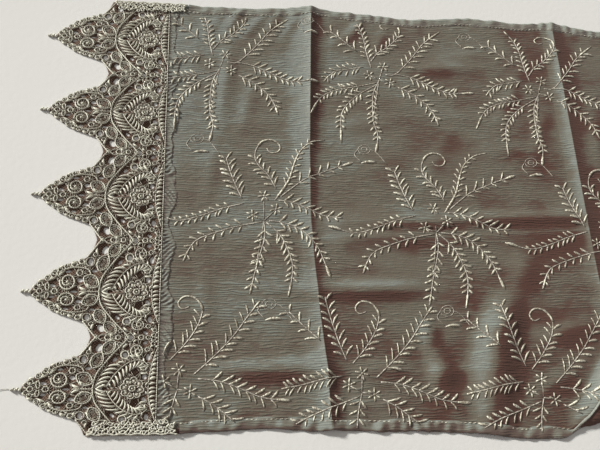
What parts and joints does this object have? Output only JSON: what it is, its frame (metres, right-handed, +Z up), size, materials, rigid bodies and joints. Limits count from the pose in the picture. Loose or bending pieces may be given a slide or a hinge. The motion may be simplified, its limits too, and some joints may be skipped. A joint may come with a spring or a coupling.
{
  "type": "lace-ended wrap",
  "caption": "Long sheer crepe wrap laid flat, with embroidered fern sprays, narrow hems and a pointed lace border across each end.",
  "frame": {"origin": "centre of the bounding box's underside, on the surface the wrap lies on", "axes": "+X along the wrap, towards the picture's right; +Y across it, away from the edge nearest the viewer; +Z up"},
  "size_m": [1.68, 0.3569, 0.0105],
  "materials": {
    "cloth": "fine lengthwise crepe, soft silk sheen",
    "cloth_doubled": "doubled crepe, paler where it is turned",
    "lace_thread": "ivory thread, satin on the raised stitches"
  },
  "bodies": {
    "root": {"cloth_panel": "cloth", "hem_far": "cloth_doubled", "hem_near_left": "cloth_doubled", "hem_near_right": "cloth_doubled", "seam_allowance_left": "cloth_doubled", "seam_allowance_right": "cloth_doubled", "lace_left": "lace_thread", "lace_right": "lace_thread", "lace_fold_left_far": "lace_thread", "lace_fold_left_near": "lace_thread", "lace_fold_right_far": "lace_thread", "lace_fold_right_near": "lace_thread"}
  },
  "joints": []
}
